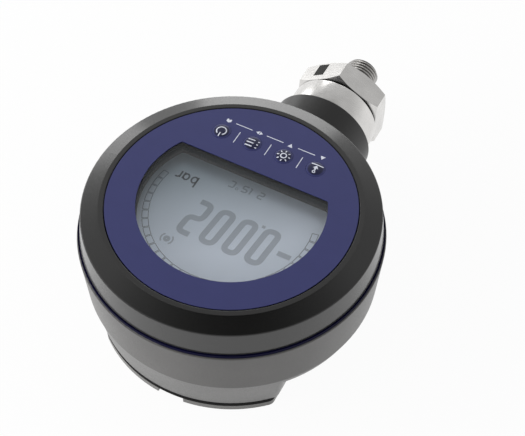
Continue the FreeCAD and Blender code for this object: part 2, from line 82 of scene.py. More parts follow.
def along_stem(name):
    """Where a node starts and ends along the connection, outward from the end of the neck."""
    low, high = node_box(name)
    return -high.y - neck_end, -low.y - neck_end


# Printed signs on the foil and the keys
ink_t = 0.03
sign_line = 0.38
thin_line = 0.27
sign_r = 2.1              # half of a sign's width
zero_line_y = -0.8 * sign_r
arrow_tip_y = -0.6 * sign_r
arrow_neck_y = -0.05 * sign_r
arrow_top_y = 0.3 * sign_r
arrow_w = 0.9 * sign_r
arrow_tip_w = sign_line / 6.0
arrow_stem_w = 1.7 * sign_line
drop_y = 0.65 * sign_r    # small ring above the arrow
drop_r = 0.2 * sign_r
drop_line = 0.7 * sign_line
sun_r = 0.95
ray_in = 1.65
ray_out = 2.35
ray_total = 8
row_step = 1.35           # rows of the menu sign
dot_len = 0.6
ring_r = 1.65             # ring of the power sign
ring_gap = 32.0           # half of its opening at the top, in degrees
ring_stem = (0.5 * ring_r, 1.5 * ring_r)
divider_len = 5.0
link_len = 6.2
mark_drop = 5.2           # small signs under the row of keys
mark_w = 1.7
mark_h = 1.5
mark_reach = 0.7 * mark_h  # of a sideways mark
eaves_y = mark_h / 6.0    # of the house
door_half = mark_w / 6.0

# Signs of the liquid crystal panel
segment_t = 0.04
stroke_steps = 6          # rounding of a stroke's corner
reading = "0002"
digit_left = -18.6
digit_base = -0.5
digit_pitch = 8.07
digit_w = 6.2
digit_h = 15.3
digit_line = 2.0
digit_slant = math.radians(5.0)
point_at = (-11.5, 0.1)
point_w = 1.1
minus_low = (-24.4, 6.1)
minus_high = (-19.9, 7.9)
small_reading = "215"
small_whole = 2           # digits before its point
small_left = -6.2
small_base = -12.0
small_pitch = 2.9
small_w = 2.2
small_h = 3.0
small_line = 0.5
degree_r = 0.45
unit_left = 16.3
unit_base = -7.7
unit_h = 4.5
unit_line = 0.58
unit_bowl = 0.95          # half width of a letter's bowl
unit_stretch = 1.3        # a bowl is this much taller than wide
unit_gap = 0.55
unit_hook = (60.0, 180.0)  # arc of the last letter, in degrees
alert_at = (13.2, 18.4)
alert_r = 2.0
alert_half = 50.0         # half of each bracket's arc, in degrees
alert_dot_r = alert_r / 3.0
alert_dot_line = alert_r / 2.0
cell_in = 26.6            # row of cells along the round edge
cell_out = 28.6
cell_line = 0.17
cell_first = -11.0
cell_last = 191.0
cell_total = 28
cell_share = 0.88         # of the pitch that a cell fills

# Process connection, outward from the end of the neck
stem_r = 12.0
clip_groove = 1.1         # depth of the retaining ring's groove
port_r = 1.3
port_mouth = 0.4
collar_r = 17.0
collar_h = 10.6
collar_round = 0.6
round_steps = 5
groove_r = 12.4
groove_h = 0.9
hex_across = 32.0
hex_h = 9.9
hex_step = math.radians(60.0)
hex_turn = math.radians(118.3)
hex_bevel = math.radians(30.0)
undercut_r = 5.7
undercut_w = 1.5
thread_r = thread_mount["dims"]["r_mm"]
thread_len = 15.2
thread_pitch = 1.337
thread_depth = 0.856
thread_bevel = 0.9
flank_slope = 0.72        # steeper than a half, so crests and roots are flat
spigot_r = 2.5
spigot_h = 2.0
columns = 192             # points round the connection
thread_rows = 18          # rows for each turn of the thread
etch_side = (-3.8, 0.7)   # dark etched field across a flat, from its middle
etch_along = (-1.9, 4.2)  # and along the axis
collar_s = along_stem("slip_washer")[1]
groove_s = collar_s + collar_h
hex_s = groove_s + groove_h
thread_s = hex_s + hex_h

# Edges sharper than these angles in degrees stay sharp
sharp_edge = 32.0
thread_edge = 28.0

# Finishes
foil_colour = (0.043, 0.048, 0.160)
key_shade_share = 0.33          # painted shade: share of the foil's colour in the darkened middle of a key
pattern_low = 0.3         # most of a noise pattern lies between these values
pattern_high = 0.7
cloud_size = 40.0         # clouds of colour are this many times as large as the grain
cloud_detail = 3.0
gloss_vary = 0.06
grain_bump = 0.35
case_relief = 0.00003     # depths of relief, in metres
foil_relief = 0.00001
satin_relief = 0.000006
turning_len = 60.0        # marks of turning are this many times as long as wide
turning_detail = 3.0
turning_bump = 0.3
turning_smooth = 0.05     # a mark is this much smoother or rougher than the rest
turning_rough = 0.07
stain_scale = 180.0       # spots for each metre
stain_dark = 0.93
stain_light = 1.05
pane_clear = 0.98
haze_scale = 300.0        # spots for each metre
haze_rough = (0.10, 0.16)
# Share of light that the pane mirrors, from straight on at 0 to edge on at 1
pane_mirror = {0.0: 0.03, 0.6: 0.07, 1.0: 0.5}

# Painted shade that changes along a piece
neck_shade_blend = 0.2          # the neck's painted shade is full this far outside the body
recess_shade_blend = 0.5        # the painted shade of recess and thread ends this far outside them
root_shade_blend = 0.6          # the painted shade of the thread's roots ends this far outside its crests
panel_shade_fall = (0.6, -0.8)  # the panel's painted shade deepens in this direction
panel_shade_start = -14.0
panel_shade_end = 20.0
key_fade_start = 0.37     # a key's painted shade fades between these shares of its width, from its middle
key_fade_end = 0.46

# Camera
camera_place = Vector((-0.106765, 0.189918, 0.33364))
camera_aim = Vector((0.272965, -0.541031, -0.795))
camera_roll = math.radians(1.12)
image_w = 525
focal_px = 1122.0
sensor_w = 36.0
clip_near = 0.01
clip_far = 20.0

# Studio
floor_side = 3.0
floor_drop = 0.00005      # the floor lies just under the part
floor_grey = 0.9
floor_glow = 0.95         # share of plain white that the camera and mirrors see
# Light from the sky, from the horizon at 0 to overhead at 1
sky_levels = {0.0: 1.0, 0.35: 0.75, 0.6: 0.55, 0.8: 0.65, 0.9: 0.3, 1.0: 0.0}
lamp_far = 0.9
# Each lamp's turn to the left of the view and its rise in degrees, its size in metres, its power,
# and whether glossy surfaces mirror it
lamps = {
    "lamp_back": {"turn": -6.0, "rise": 17.0, "size": (0.45, 0.35), "power": 1.2, "mirrored": True},
    "lamp_corner": {"turn": 38.0, "rise": 14.0, "size": (0.5, 0.35), "power": 1.2, "mirrored": True},
    "lamp_left": {"turn": 88.0, "rise": 14.0, "size": (1.5, 0.42), "power": 12.0, "mirrored": False},
}


# Material helpers


def new_material(name):
    """Material with its node tree and its Principled shader."""
    material = bpy.data.materials.new(name)
    material.use_nodes = True
    return material, material.node_tree, material.node_tree.nodes["Principled BSDF"]


def tinted(colour, share):
    """A colour made lighter or darker by a share."""
    return tuple(channel * share for channel in colour)


def grey(level):
    """A plain grey for a colour socket."""
    return level, level, level, 1.0


def place_in(tree, space="Object"):
    """Where a point of the surface lies, in one of the texture spaces."""
    return tree.nodes.new("ShaderNodeTexCoord").outputs[space]


def noise(tree, scale, detail=2.0):
    """Noise in the object's own space; scale is in features per metre."""
    texture = tree.nodes.new("ShaderNodeTexNoise")
    texture.inputs["Scale"].default_value = scale
    texture.inputs["Detail"].default_value = detail
    tree.links.new(place_in(tree), texture.inputs["Vector"])
    return texture.outputs["Fac"]


def ranged(tree, source, first, last, low=0.0, high=1.0):
    """Takes a value from the range first to last to the range low to high, and holds it at the ends."""
    node = tree.nodes.new("ShaderNodeMapRange")
    ends = {"From Min": first, "From Max": last, "To Min": low, "To Max": high}
    for name, value in ends.items():
        node.inputs[name].default_value = value
    tree.links.new(source, node.inputs["Value"])
    return node.outputs["Result"]


def spread(tree, source, low, high):
    """A noise pattern spread over a range of values."""
    return ranged(tree, source, pattern_low, pattern_high, low, high)


def shades(tree, source, dark, light):
    """A noise pattern as a mix of two colours."""
    ramp = tree.nodes.new("ShaderNodeValToRGB")
    stops = ramp.color_ramp.elements
    for stop, position, colour in ((stops[0], pattern_low, dark), (stops[1], pattern_high, light)):
        stop.position = position
        stop.color = (*colour, 1.0)
    tree.links.new(source, ramp.inputs["Fac"])
    return ramp.outputs["Color"]


def grey_ramp(tree, source, levels):
    """Levels of grey along a value that goes from 0 to 1."""
    ramp = tree.nodes.new("ShaderNodeValToRGB")
    stops = ramp.color_ramp.elements
    first, *between, last = levels.items()
    for stop, (_, level) in ((stops[0], first), (stops[1], last)):
        stop.color = grey(level)
    for position, level in between:
        stops.new(position).color = grey(level)
    tree.links.new(source, ramp.inputs["Fac"])
    return ramp.outputs["Color"]


def math_of(tree, operation, first, second=0.0):
    """Math of one value with another or with a number."""
    node = tree.nodes.new("ShaderNodeMath")
    node.operation = operation
    tree.links.new(first, node.inputs[0])
    if isinstance(second, float):
        node.inputs[1].default_value = second
    else:
        tree.links.new(second, node.inputs[1])
    return node.outputs["Value"]


def vector_math_of(tree, operation, first, second=(0.0, 0.0, 0.0)):
    """Math of a vector with a fixed one; gives the node's outputs."""
    node = tree.nodes.new("ShaderNodeVectorMath")
    node.operation = operation
    tree.links.new(first, node.inputs[0])
    node.inputs[1].default_value = second
    return node.outputs


def away_from(tree, space, middle, keep):
    """Distance from a middle in a texture space, in the directions to keep."""
    start = vector_math_of(tree, "SUBTRACT", place_in(tree, space), middle)["Vector"]
    level = vector_math_of(tree, "MULTIPLY", start, keep)["Vector"]
    return vector_math_of(tree, "LENGTH", level)["Value"]


def far_along(tree, direction):
    """How far a place lies in a direction from the frame's origin, in metres."""
    return vector_math_of(tree, "DOT_PRODUCT", place_in(tree), direction)["Value"]


def band(tree, source, low, high, blend):
    """A mask that is 1 between two values of its source and fades outside them."""
    half = (high - low) / 2.0
    away = math_of(tree, "ABSOLUTE", math_of(tree, "SUBTRACT", source, low + half))
    return ranged(tree, away, half + blend, half)


def toned(tree, mask, colour):
    """Puts another base colour where a mask is 1."""
    base = tree.nodes["Principled BSDF"].inputs["Base Color"]
    mix = tree.nodes.new("ShaderNodeMix")
    mix.data_type = "RGBA"
    first, second = [socket for socket in mix.inputs if socket.type == "RGBA"]
    result = next(socket for socket in mix.outputs if socket.type == "RGBA")
    second.default_value = (*colour, 1.0)
    tree.links.new(base.links[0].from_socket, first)
    tree.links.new(mask, mix.inputs[0])
    tree.links.new(result, base)


def bump(tree, shader, source, strength, depth):
    """Surface relief; depth is in metres."""
    node = tree.nodes.new("ShaderNodeBump")
    node.inputs["Strength"].default_value = strength
    node.inputs["Distance"].default_value = depth
    tree.links.new(source, node.inputs["Height"])
    tree.links.new(node.outputs["Normal"], shader.inputs["Normal"])


def mixed_surface(tree, share, first, second):
    """Mixes two shaders by a share into the material's surface."""
    mix = tree.nodes.new("ShaderNodeMixShader")
    tree.links.new(share, mix.inputs["Fac"])
    tree.links.new(first, mix.inputs[1])
    tree.links.new(second, mix.inputs[2])
    tree.links.new(mix.outputs["Shader"], tree.nodes["Material Output"].inputs["Surface"])


# Materials


def grained(
    name, colour, rough, shine=0.5, grain=2600.0, relief=case_relief, vary=0.12, metal=0.0, sheen=0.0
):
    """Fine-grained finish: colour and gloss vary a little, and the surface has a small relief."""
    material, tree, shader = new_material(name)
    cloud = noise(tree, grain / cloud_size, cloud_detail)
    fine = noise(tree, grain)
    colours = shades(tree, cloud, tinted(colour, 1.0 - vary), tinted(colour, 1.0 + vary))
    gloss = spread(tree, fine, rough - gloss_vary, rough + gloss_vary)
    tree.links.new(colours, shader.inputs["Base Color"])
    tree.links.new(gloss, shader.inputs["Roughness"])
    shader.inputs["Specular IOR Level"].default_value = shine
    shader.inputs["Metallic"].default_value = metal
    shader.inputs["Sheen Weight"].default_value = sheen
    bump(tree, shader, fine, grain_bump, relief)
    return material


def machined(name, colour, rough, lines):
    """Turned metal: fine marks that run round the axis, and a slight stain."""
    material, tree, shader = new_material(name)
    stretch = tree.nodes.new("ShaderNodeMapping")
    stretch.inputs["Scale"].default_value = (lines / turning_len, lines, lines / turning_len)
    tree.links.new(place_in(tree), stretch.inputs["Vector"])
    texture = tree.nodes.new("ShaderNodeTexNoise")
    texture.inputs["Scale"].default_value = 1.0
    texture.inputs["Detail"].default_value = turning_detail
    tree.links.new(stretch.outputs["Vector"], texture.inputs["Vector"])
    marks = texture.outputs["Fac"]
    colours = shades(tree, noise(tree, stain_scale), tinted(colour, stain_dark), tinted(colour, stain_light))
    gloss = spread(tree, marks, rough - turning_smooth, rough + turning_rough)
    tree.links.new(colours, shader.inputs["Base Color"])
    tree.links.new(gloss, shader.inputs["Roughness"])
    shader.inputs["Metallic"].default_value = 1.0
    bump(tree, shader, marks, turning_bump, satin_relief)
    return material


def case_plastic():
    """The case's plastic, with painted shade that makes its neck as dark as the bezel."""
    colour = (0.066, 0.064, 0.062)
    neck_shade_colour = (0.008, 0.008, 0.0075)
    material = grained("case_plastic", colour, rough=0.34)
    tree = material.node_tree
    away = away_from(tree, "Object", middle=(0.0, 0.0, 0.0), keep=(1.0, 1.0, 0.0))
    # painted shade: the neck, outside the body's radius, is darkened as if in shade
    toned(tree, ranged(tree, away, case_r * mm, (case_r + neck_shade_blend) * mm), neck_shade_colour)
    return material


def bezel_plastic():
    """The bezel's black plastic, smoother and glossier than the case."""
    colour = (0.003, 0.003, 0.0027)
    return grained("bezel_plastic", colour, rough=0.20, shine=0.62, relief=satin_relief, sheen=0.2)


def printed_foil(name, colour, rough):
    """Printed foil, even and with a very fine grain."""
    return grained(name, colour, rough, shine=0.35, grain=5000.0, relief=foil_relief, vary=0.03)


def key_blue_painted_shade():
    """A key in the foil's colour, darkened in its middle by painted shade that fades out at the rim."""
    material = printed_foil("key_blue_painted_shade", tinted(foil_colour, key_shade_share), rough=0.35)
    tree = material.node_tree
    away = away_from(tree, "Generated", middle=(0.5, 0.5, 0.0), keep=(1.0, 1.0, 0.0))
    # painted shade: the key is dark in its middle and keeps the foil's colour at its rim
    toned(tree, ranged(tree, away, key_fade_start, key_fade_end), foil_colour)
    return material


def display_tone(name, share):
    """A share of the display's satin colour, darkened by painted shade towards the corner beside the unit."""
    colour = tinted((0.78, 0.865, 0.98), share)
    shaded_corner_colour = tinted((0.33, 0.41, 0.475), share)
    material = grained(name, colour, rough=0.42, grain=4000.0, relief=satin_relief, vary=0.02, metal=0.6)
    tree = material.node_tree
    # painted shade: the panel darkens towards the corner by the straight edge, as if shaded by the window's edge
    fall = far_along(tree, (*panel_shade_fall, 0.0))
    toned(tree, ranged(tree, fall, panel_shade_start * mm, panel_shade_end * mm), shaded_corner_colour)
    return material


def turned_steel():
    """Turned steel, darkened by painted shade in the recess behind the collar and in the roots of the thread."""
    recess_shade_colour = (0.05, 0.05, 0.05)
    root_shade_colour = (0.20, 0.195, 0.19)
    material = machined("turned_steel", (0.70, 0.69, 0.675), rough=0.22, lines=4200.0)
    tree = material.node_tree
    along = far_along(tree, (0.0, -1.0, 0.0))
    away = away_from(tree, "Object", middle=(0.0, 0.0, axis_z * mm), keep=(1.0, 0.0, 1.0))
    recess_start = (neck_end + groove_s) * mm
    thread_start = (neck_end + thread_s) * mm
    recess = band(tree, along, recess_start, recess_start + groove_h * mm, recess_shade_blend * mm)
    thread = band(tree, along, thread_start, thread_start + thread_len * mm, recess_shade_blend * mm)
    root = ranged(tree, away, (thread_r + root_shade_blend) * mm, (thread_r - thread_depth) * mm)
    # painted shade in the recess behind the collar and in the thread's roots
    toned(tree, recess, recess_shade_colour)
    toned(tree, math_of(tree, "MULTIPLY", thread, root), root_shade_colour)
    return material


def clear_pane():
    """Clear window: what lies behind shows straight through, and the surface mirrors at low angles."""
    material, tree, shader = new_material("clear_pane")
    tree.nodes.remove(shader)
    through = tree.nodes.new("ShaderNodeBsdfTransparent")
    through.inputs["Color"].default_value = grey(pane_clear)
    mirror = tree.nodes.new("ShaderNodeBsdfGlossy")
    tree.links.new(spread(tree, noise(tree, haze_scale), *haze_rough), mirror.inputs["Roughness"])
    slope = tree.nodes.new("ShaderNodeLayerWeight")
    share = grey_ramp(tree, slope.outputs["Facing"], pane_mirror)
    mixed_surface(tree, share, through.outputs["BSDF"], mirror.outputs["BSDF"])
    return material


def make_materials():
    """One material for each slot of the record, and the extra ones of cover, keys, signs and etching."""
    return {
        "case_plastic": case_plastic(),
        # painted light: the cover is made paler to stand in for the floor's light on it
        "cover_plastic_painted_light": grained("cover_plastic_painted_light", (0.13, 0.127, 0.122), rough=0.34),
        "bezel_plastic": bezel_plastic(),
        "trim_blue": grained("trim_blue", (0.003, 0.003, 0.022), rough=0.4, shine=0.03),
        "foil_blue": printed_foil("foil_blue", foil_colour, rough=0.42),
        "key_blue_painted_shade": key_blue_painted_shade(),
        "clear_pane": clear_pane(),
        "seal_black": grained("seal_black", (0.003, 0.003, 0.003), rough=0.6, shine=0.06),
        "frame_black": grained("frame_black", (0.022, 0.025, 0.026), rough=0.6, shine=0.3),
        "lcd_grey": display_tone("lcd_grey", share=1.0),
        "light_white": grained("light_white", (0.75, 0.75, 0.73), rough=0.5),
        "board_green": grained("board_green", (0.02, 0.15, 0.06), rough=0.4),
        "chip_black": grained("chip_black", (0.02, 0.02, 0.02), rough=0.5),
        "screw_steel": machined("screw_steel", (0.55, 0.55, 0.56), rough=0.32, lines=5000.0),
        "turned_steel": turned_steel(),
        "cell_can": grained("cell_can", (0.10, 0.11, 0.13), rough=0.35),
        "contact_metal": machined("contact_metal", (0.75, 0.74, 0.70), rough=0.25, lines=3000.0),
        "washer_black": grained("washer_black", (0.015, 0.015, 0.016), rough=0.45),
        "print_white": grained("print_white", (0.80, 0.83, 0.94), rough=0.5, vary=0.05),
        "segment_grey": display_tone("segment_grey", share=0.63),
        "letter_grey": display_tone("letter_grey", share=0.24),
        "etched_dark": grained("etched_dark", (0.016, 0.016, 0.015), rough=0.6, shine=0.2, vary=0.3),
    }


# Mesh helpers


def new_piece(name, points_mm, faces, body, material, sharp=sharp_edge):
    """Piece from points in millimetres, smooth but for its sharp edges, riding on a body."""
    mesh = bpy.data.meshes.new(name)
    mesh.from_pydata([Vector(point) * mm for point in points_mm], [], faces)
    mesh.shade_smooth()
    mesh.set_sharp_from_angle(angle=math.radians(sharp))
    mesh.materials.append(material)
    piece = bpy.data.objects.new(name, mesh)
    bpy.context.scene.collection.objects.link(piece)
    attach(piece, body)
    return piece


class Ink:
    """Thin raised shapes on a surface, gathered into one mesh. All sizes are in millimetres."""

    def __init__(self, origin, height, thickness):
        self.origin = origin
        self.height = height
        self.thickness = thickness
        self.points = []
        self.faces = []

    def put(self, x, y):
        """Adds the lower and the upper point at a place and returns the lower one's index."""
        x += self.origin[0]
        y += self.origin[1]
        z = self.height(x, y)
        self.points += [(x, y, z), (x, y, z + self.thickness)]
        return len(self.points) - 2

    def polygon(self, outline):
        """Flat plate with a counter-clockwise outline."""
        low = [self.put(x, y) for x, y in outline]
        self.faces.append(low[::-1])
        self.faces.append([index + 1 for index in low])
        for a, b in zip(low, low[1:] + low[:1]):
            self.faces.append([a, b, b + 1, a + 1])

    def ribbon(self, path, widths, closed=False):
        """Band along a path, with a width at each point."""
        count = len(path)
        left = []
        right = []
        for index, (x, y) in enumerate(path):
            before = path[index - 1] if closed or index else path[0]
            after = path[(index + 1) % count] if closed or index + 1 < count else path[-1]
            along = (Vector(after) - Vector(before)).normalized() * widths[index] / 2.0
            left.append(self.put(x - along.y, y + along.x))
            right.append(self.put(x + along.y, y - along.x))
        steps = count if closed else count - 1
        for a in range(steps):
            b = (a + 1) % count
            self.faces.append([left[a] + 1, right[a] + 1, right[b] + 1, left[b] + 1])
            self.faces.append([left[a], left[b], right[b], right[a]])
            self.faces.append([right[a], right[b], right[b] + 1, right[a] + 1])
            self.faces.append([left[b], left[a], left[a] + 1, left[b] + 1])
        if not closed:
            self.faces.append([left[0], right[0], right[0] + 1, left[0] + 1])
            self.faces.append([right[-1], left[-1], left[-1] + 1, right[-1] + 1])

    def bar(self, start, end, width, end_width=None, steps=8):
        """Straight band, tapering if its end has another width."""
        last = width if end_width is None else end_width
        shares = [index / steps for index in range(steps + 1)]
        path = [Vector(start).lerp(Vector(end), share) for share in shares]
        self.ribbon(path, [width + (last - width) * share for share in shares])

    def arc(self, centre, radius, width, first=0.0, last=360.0, stretch=1.0, steps=40):
        """Band along an arc between two angles in degrees, or all round; stretch makes it taller."""
        closed = last - first >= 360.0
        count = steps if closed else steps + 1
        path = []
        for index in range(count):
            turn = math.radians(first + (last - first) * index / steps)
            path.append((centre[0] + radius * math.cos(turn), centre[1] + stretch * radius * math.sin(turn)))
        self.ribbon(path, [width] * count, closed)

    def piece(self, name, body, slot, material):
        """The gathered shapes as one piece."""
        return new_piece(name, self.points, self.faces, body, material)


def flat(z):
    """Height of a level surface."""
    return lambda x, y: z


def dome(name):
    """Height of a key's domed top, and the key's middle."""
    low, high = node_box(name)
    middle = ((low.x + high.x) / 2.0, (low.y + high.y) / 2.0)
    edge_r = (high.x - low.x) / 2.0
    crown = high.z - front_z
    sphere_r = (edge_r ** 2 + crown ** 2) / (2.0 * crown)

    def height(x, y):
        away = (x - middle[0]) ** 2 + (y - middle[1]) ** 2
        return high.z - sphere_r + math.sqrt(sphere_r ** 2 - away)

    return height, middle


# Signs on the keys and the foil


def draw_zero(ink):
    """Arrow down to a line, with a small ring above it."""
    ink.bar((-sign_r, zero_line_y), (sign_r, zero_line_y), sign_line, steps=16)
    ink.bar((0, arrow_neck_y), (0, arrow_tip_y), arrow_w, arrow_tip_w)
    ink.bar((0, arrow_top_y), (0, arrow_neck_y), arrow_stem_w)
    ink.arc((0, drop_y), drop_r, drop_line)


def draw_light(ink):
    """Sun with its rays."""
    ink.arc((0, 0), sun_r, sign_line)
    for ray in range(ray_total):
        turn = math.radians(360.0 * ray / ray_total)
        toward = Vector((math.cos(turn), math.sin(turn)))
        ink.bar(toward * ray_in, toward * ray_out, sign_line)


def draw_menu(ink):
    """Three lines, each with a dot."""
    for row in (row_step, 0.0, -row_step):
        ink.bar((dot_len - sign_r / 2.0, row), (sign_r, row), sign_line, steps=12)
        ink.bar((-sign_r, row), (dot_len - sign_r, row), sign_line)


def draw_power(ink):
    """Ring that is open at the top, with a stem."""
    low, high = ring_stem
    ink.arc((0, 0), ring_r, sign_line, 90.0 + ring_gap, 450.0 - ring_gap)
    ink.bar((0, low), (0, high), sign_line)


def draw_keys(materials):
    """The sign on each key, which moves with it."""
    drawings = {"zero": draw_zero, "light": draw_light, "menu": draw_menu, "power": draw_power}
    for word, draw in drawings.items():
        height, middle = dome(f"key_{word}")
        ink = Ink(middle, height, ink_t)
        draw(ink)
        ink.piece(f"sign_{word}", f"{word}_key", "foil_blue", materials["print_white"])
        nodes[f"key_{word}"].data.materials[0] = materials["key_blue_painted_shade"]


def draw_marks(ink, middles):
    """Small signs under the keys: up, down, sideways and house."""
    half = mark_w / 2.0
    tall = mark_h / 2.0
    up, down, sideways, house = [Vector((x, y - mark_drop)) for x, y in middles]
    ink.polygon([up + Vector(corner) for corner in ((-half, -tall), (half, -tall), (0, tall))])
    ink.polygon([down + Vector(corner) for corner in ((-half, tall), (0, -tall), (half, tall))])
    near = sideways + Vector((thin_line / 2.0, 0))
    ink.polygon([near + Vector(corner) for corner in ((0, -tall), (mark_reach, 0), (0, tall))])
    near = sideways - Vector((thin_line / 2.0, 0))
    ink.polygon([near + Vector(corner) for corner in ((0, tall), (-mark_reach, 0), (0, -tall))])
    walls = ((half, -tall), (half, eaves_y), (0, tall), (-half, eaves_y), (-half, -tall))
    door = ((-door_half, -tall), (0, -eaves_y), (door_half, -tall))
    ink.polygon([house + Vector(corner) for corner in walls + door])


def draw_foil(materials):
    """Dividers between the keys, and the row of small signs under them."""
    middles = [dome(f"key_{word}")[1] for word in ("zero", "light", "menu", "power")]
    half_divider = Vector((0, divider_len / 2.0))
    half_link = Vector((link_len / 2.0, 0))
    ink = Ink((0.0, 0.0), flat(front_z), ink_t)
    for (x, y), (next_x, _) in zip(middles, middles[1:]):
        between = Vector(((x + next_x) / 2.0, y))
        ink.bar(between - half_divider, between + half_divider, thin_line)
        under = between - Vector((0, mark_drop))
        ink.bar(under - half_link, under + half_link, thin_line)
    draw_marks(ink, middles)
    ink.piece("foil_signs", "case", "foil_blue", materials["print_white"])


# Liquid crystal panel

# Corners of each digit's stroke, as shares of its width and height
digit_paths = {
    "0": ((0, 0), (1, 0), (1, 1), (0, 1)),
    "1": ((1, 0), (1, 1)),
    "2": ((0, 1), (1, 1), (1, 0.5), (0, 0.5), (0, 0), (1, 0)),
    "5": ((1, 1), (0, 1), (0, 0.5), (1, 0.5), (1, 0), (0, 0)),
    "C": ((1, 1), (0, 1), (0, 0), (1, 0)),
}
closed_digits = "0"


def panel_ink():
    """Ink for signs on the panel."""
    return Ink((0.0, 0.0), flat(lcd_z), segment_t)


def rounded_path(corners, radius, closed):
    """Path through corners, each rounded by an arc of a few points."""
    count = len(corners)
    path = []
    for index, corner in enumerate(corners):
        here = Vector(corner)
        if not closed and index in (0, count - 1):
            path.append(here)
            continue
        before = here + (Vector(corners[index - 1]) - here).normalized() * radius
        after = here + (Vector(corners[(index + 1) % count]) - here).normalized() * radius
        for step in range(stroke_steps + 1):
            share = step / stroke_steps
            path.append(before.lerp(here, share).lerp(here.lerp(after, share), share))
    return path


def draw_digits(ink, text, left, base, pitch, width, height, line):
    """A row of slanted digits in rounded strokes."""
    for place, digit in enumerate(text):
        closed = digit in closed_digits
        inner = Vector((width - line, height - line))
        corners = [(line / 2.0 + inner.x * x, line / 2.0 + inner.y * y) for x, y in digit_paths[digit]]
        path = rounded_path(corners, line, closed)
        start = left + place * pitch
        slanted = [(start + x + y * math.tan(digit_slant), base + y) for x, y in path]
        ink.ribbon(slanted, [line] * len(slanted), closed)


def draw_point(ink, at, width):
    """Square point at the foot of a reading."""
    half = Vector((width / 2.0, 0))
    ink.bar(Vector(at) - half, Vector(at) + half, width)


def draw_reading(materials):
    """The large reading with its sign and its point."""
    ink = panel_ink()
    draw_digits(ink, reading, digit_left, digit_base, digit_pitch, digit_w, digit_h, digit_line)
    (x0, y0), (x1, y1) = minus_low, minus_high
    ink.polygon([(x0, y0), (x1, y0), (x1, y1), (x0, y1)])
    draw_point(ink, point_at, point_w)
    ink.piece("display_reading", "case", "lcd_grey", materials["segment_grey"])


def draw_unit(materials):
    """The unit of pressure in plain strokes."""
    ink = panel_ink()
    tall = unit_bowl * unit_stretch
    middle_y = unit_base + tall + unit_line / 2.0
    top = middle_y + tall
    step = 2.0 * unit_bowl + unit_line + unit_gap
    b_x = unit_left
    a_x = b_x + step
    r_x = a_x + step
    ink.bar((b_x, unit_base), (b_x, unit_base + unit_h), unit_line)
    ink.arc((b_x + unit_bowl, middle_y), unit_bowl, unit_line, stretch=unit_stretch)
    ink.arc((a_x + unit_bowl, middle_y), unit_bowl, unit_line, stretch=unit_stretch)
    ink.bar((a_x + 2.0 * unit_bowl, unit_base), (a_x + 2.0 * unit_bowl, top), unit_line)
    ink.bar((r_x, unit_base), (r_x, top), unit_line)
    ink.arc((r_x + unit_bowl, middle_y), unit_bowl, unit_line, *unit_hook, unit_stretch)
    ink.piece("display_unit", "case", "lcd_grey", materials["letter_grey"])


def draw_temperature(ink):
    """The small second reading, in degrees."""
    draw_digits(ink, small_reading, small_left, small_base, small_pitch, small_w, small_h, small_line)
    point_x = small_left + small_whole * small_pitch - small_line
    draw_point(ink, (point_x, small_base + small_line / 2.0), small_line)
    degree_x = small_left + len(small_reading) * small_pitch + 2.0 * degree_r
    ink.arc((degree_x, small_base + small_h - degree_r), degree_r, small_line / 2.0)
    letter_x = degree_x + 2.0 * degree_r
    draw_digits(ink, "C", letter_x, small_base, small_pitch, small_w, small_h, small_line)


def draw_alert(ink):
    """The sign of an alert: a dot between two brackets."""
    ink.arc(alert_at, alert_dot_r, alert_dot_line, steps=24)
    for side in (0.0, 180.0):
        ink.arc(alert_at, alert_r, small_line, side - alert_half, side + alert_half, steps=16)


def draw_small_signs(materials):
    """Temperature and alert, as pale as the large reading."""
    ink = panel_ink()
    draw_temperature(ink)
    draw_alert(ink)
    ink.piece("display_small_signs", "case", "lcd_grey", materials["segment_grey"])


def draw_cells(materials):
    """The row of open cells along the round edge."""
    ink = panel_ink()
    pitch = (cell_last - cell_first) / cell_total
    for index in range(cell_total):
        first = cell_first + pitch * (index + (1.0 - cell_share) / 2.0)
        last = first + pitch * cell_share
        for radius in (cell_in, cell_out):
            ink.arc((0.0, 0.0), radius, cell_line, first, last, steps=6)
        for turn in (math.radians(first), math.radians(last)):
            toward = Vector((math.cos(turn), math.sin(turn)))
            ink.bar(toward * cell_in, toward * cell_out, cell_line, steps=1)
    ink.piece("display_cells", "case", "lcd_grey", materials["letter_grey"])


# Process connection


def hexagon_radius(turn):
    """Radius of the spanner flats in a direction, and the fall of their bevel there."""
    away = math.remainder(turn - hex_turn, hex_step)
    radius = hex_across / 2.0 / math.cos(away)
    return radius, (radius - hex_across / 2.0) * math.tan(hex_bevel)


def thread_radius(turn, s, start, end):
    """Radius of the thread's flank at a place, cut back at both ends."""
    phase = (s / thread_pitch - turn / (2.0 * math.pi)) % 1.0
    wave = 1.0 - 4.0 * abs(phase - 0.5)
    share = min(1.0, max(0.0, 0.5 + flank_slope * wave))
    radius = thread_r - thread_depth * (1.0 - share)
    return max(undercut_r, min(radius, undercut_r + s - start, thread_r - thread_bevel + end - s))


def ring(radius, s):
    """Row of points with the same radius all round."""
    return lambda turn: (radius, s)


def rounded(centre_r, centre_s, first, last):
    """Rows of a rounded edge."""
    rows = []
    for step in range(round_steps + 1):
        turn = math.radians(first + (last - first) * step / round_steps)
        rows.append(ring(centre_r + collar_round * math.cos(turn), centre_s + collar_round * math.sin(turn)))
    return rows


def stem_rows():
    """Rows of the stem inside the neck, with the grooves of its ring and its seal."""
    clip_low, clip_high = along_stem("retaining_ring")
    seal_low, seal_high = along_stem("stem_seal")
    clip_r = stem_r - clip_groove
    seal_r = stem_r - seal_high + seal_low
    end = along_stem("process_connection")[0]
    rows = [ring(port_r, end), ring(stem_r, end)]
    for low, high, radius in ((clip_low, clip_high, clip_r), (seal_low, seal_high, seal_r)):
        rows += [ring(stem_r, low), ring(radius, low), ring(radius, high), ring(stem_r, high)]
    return rows


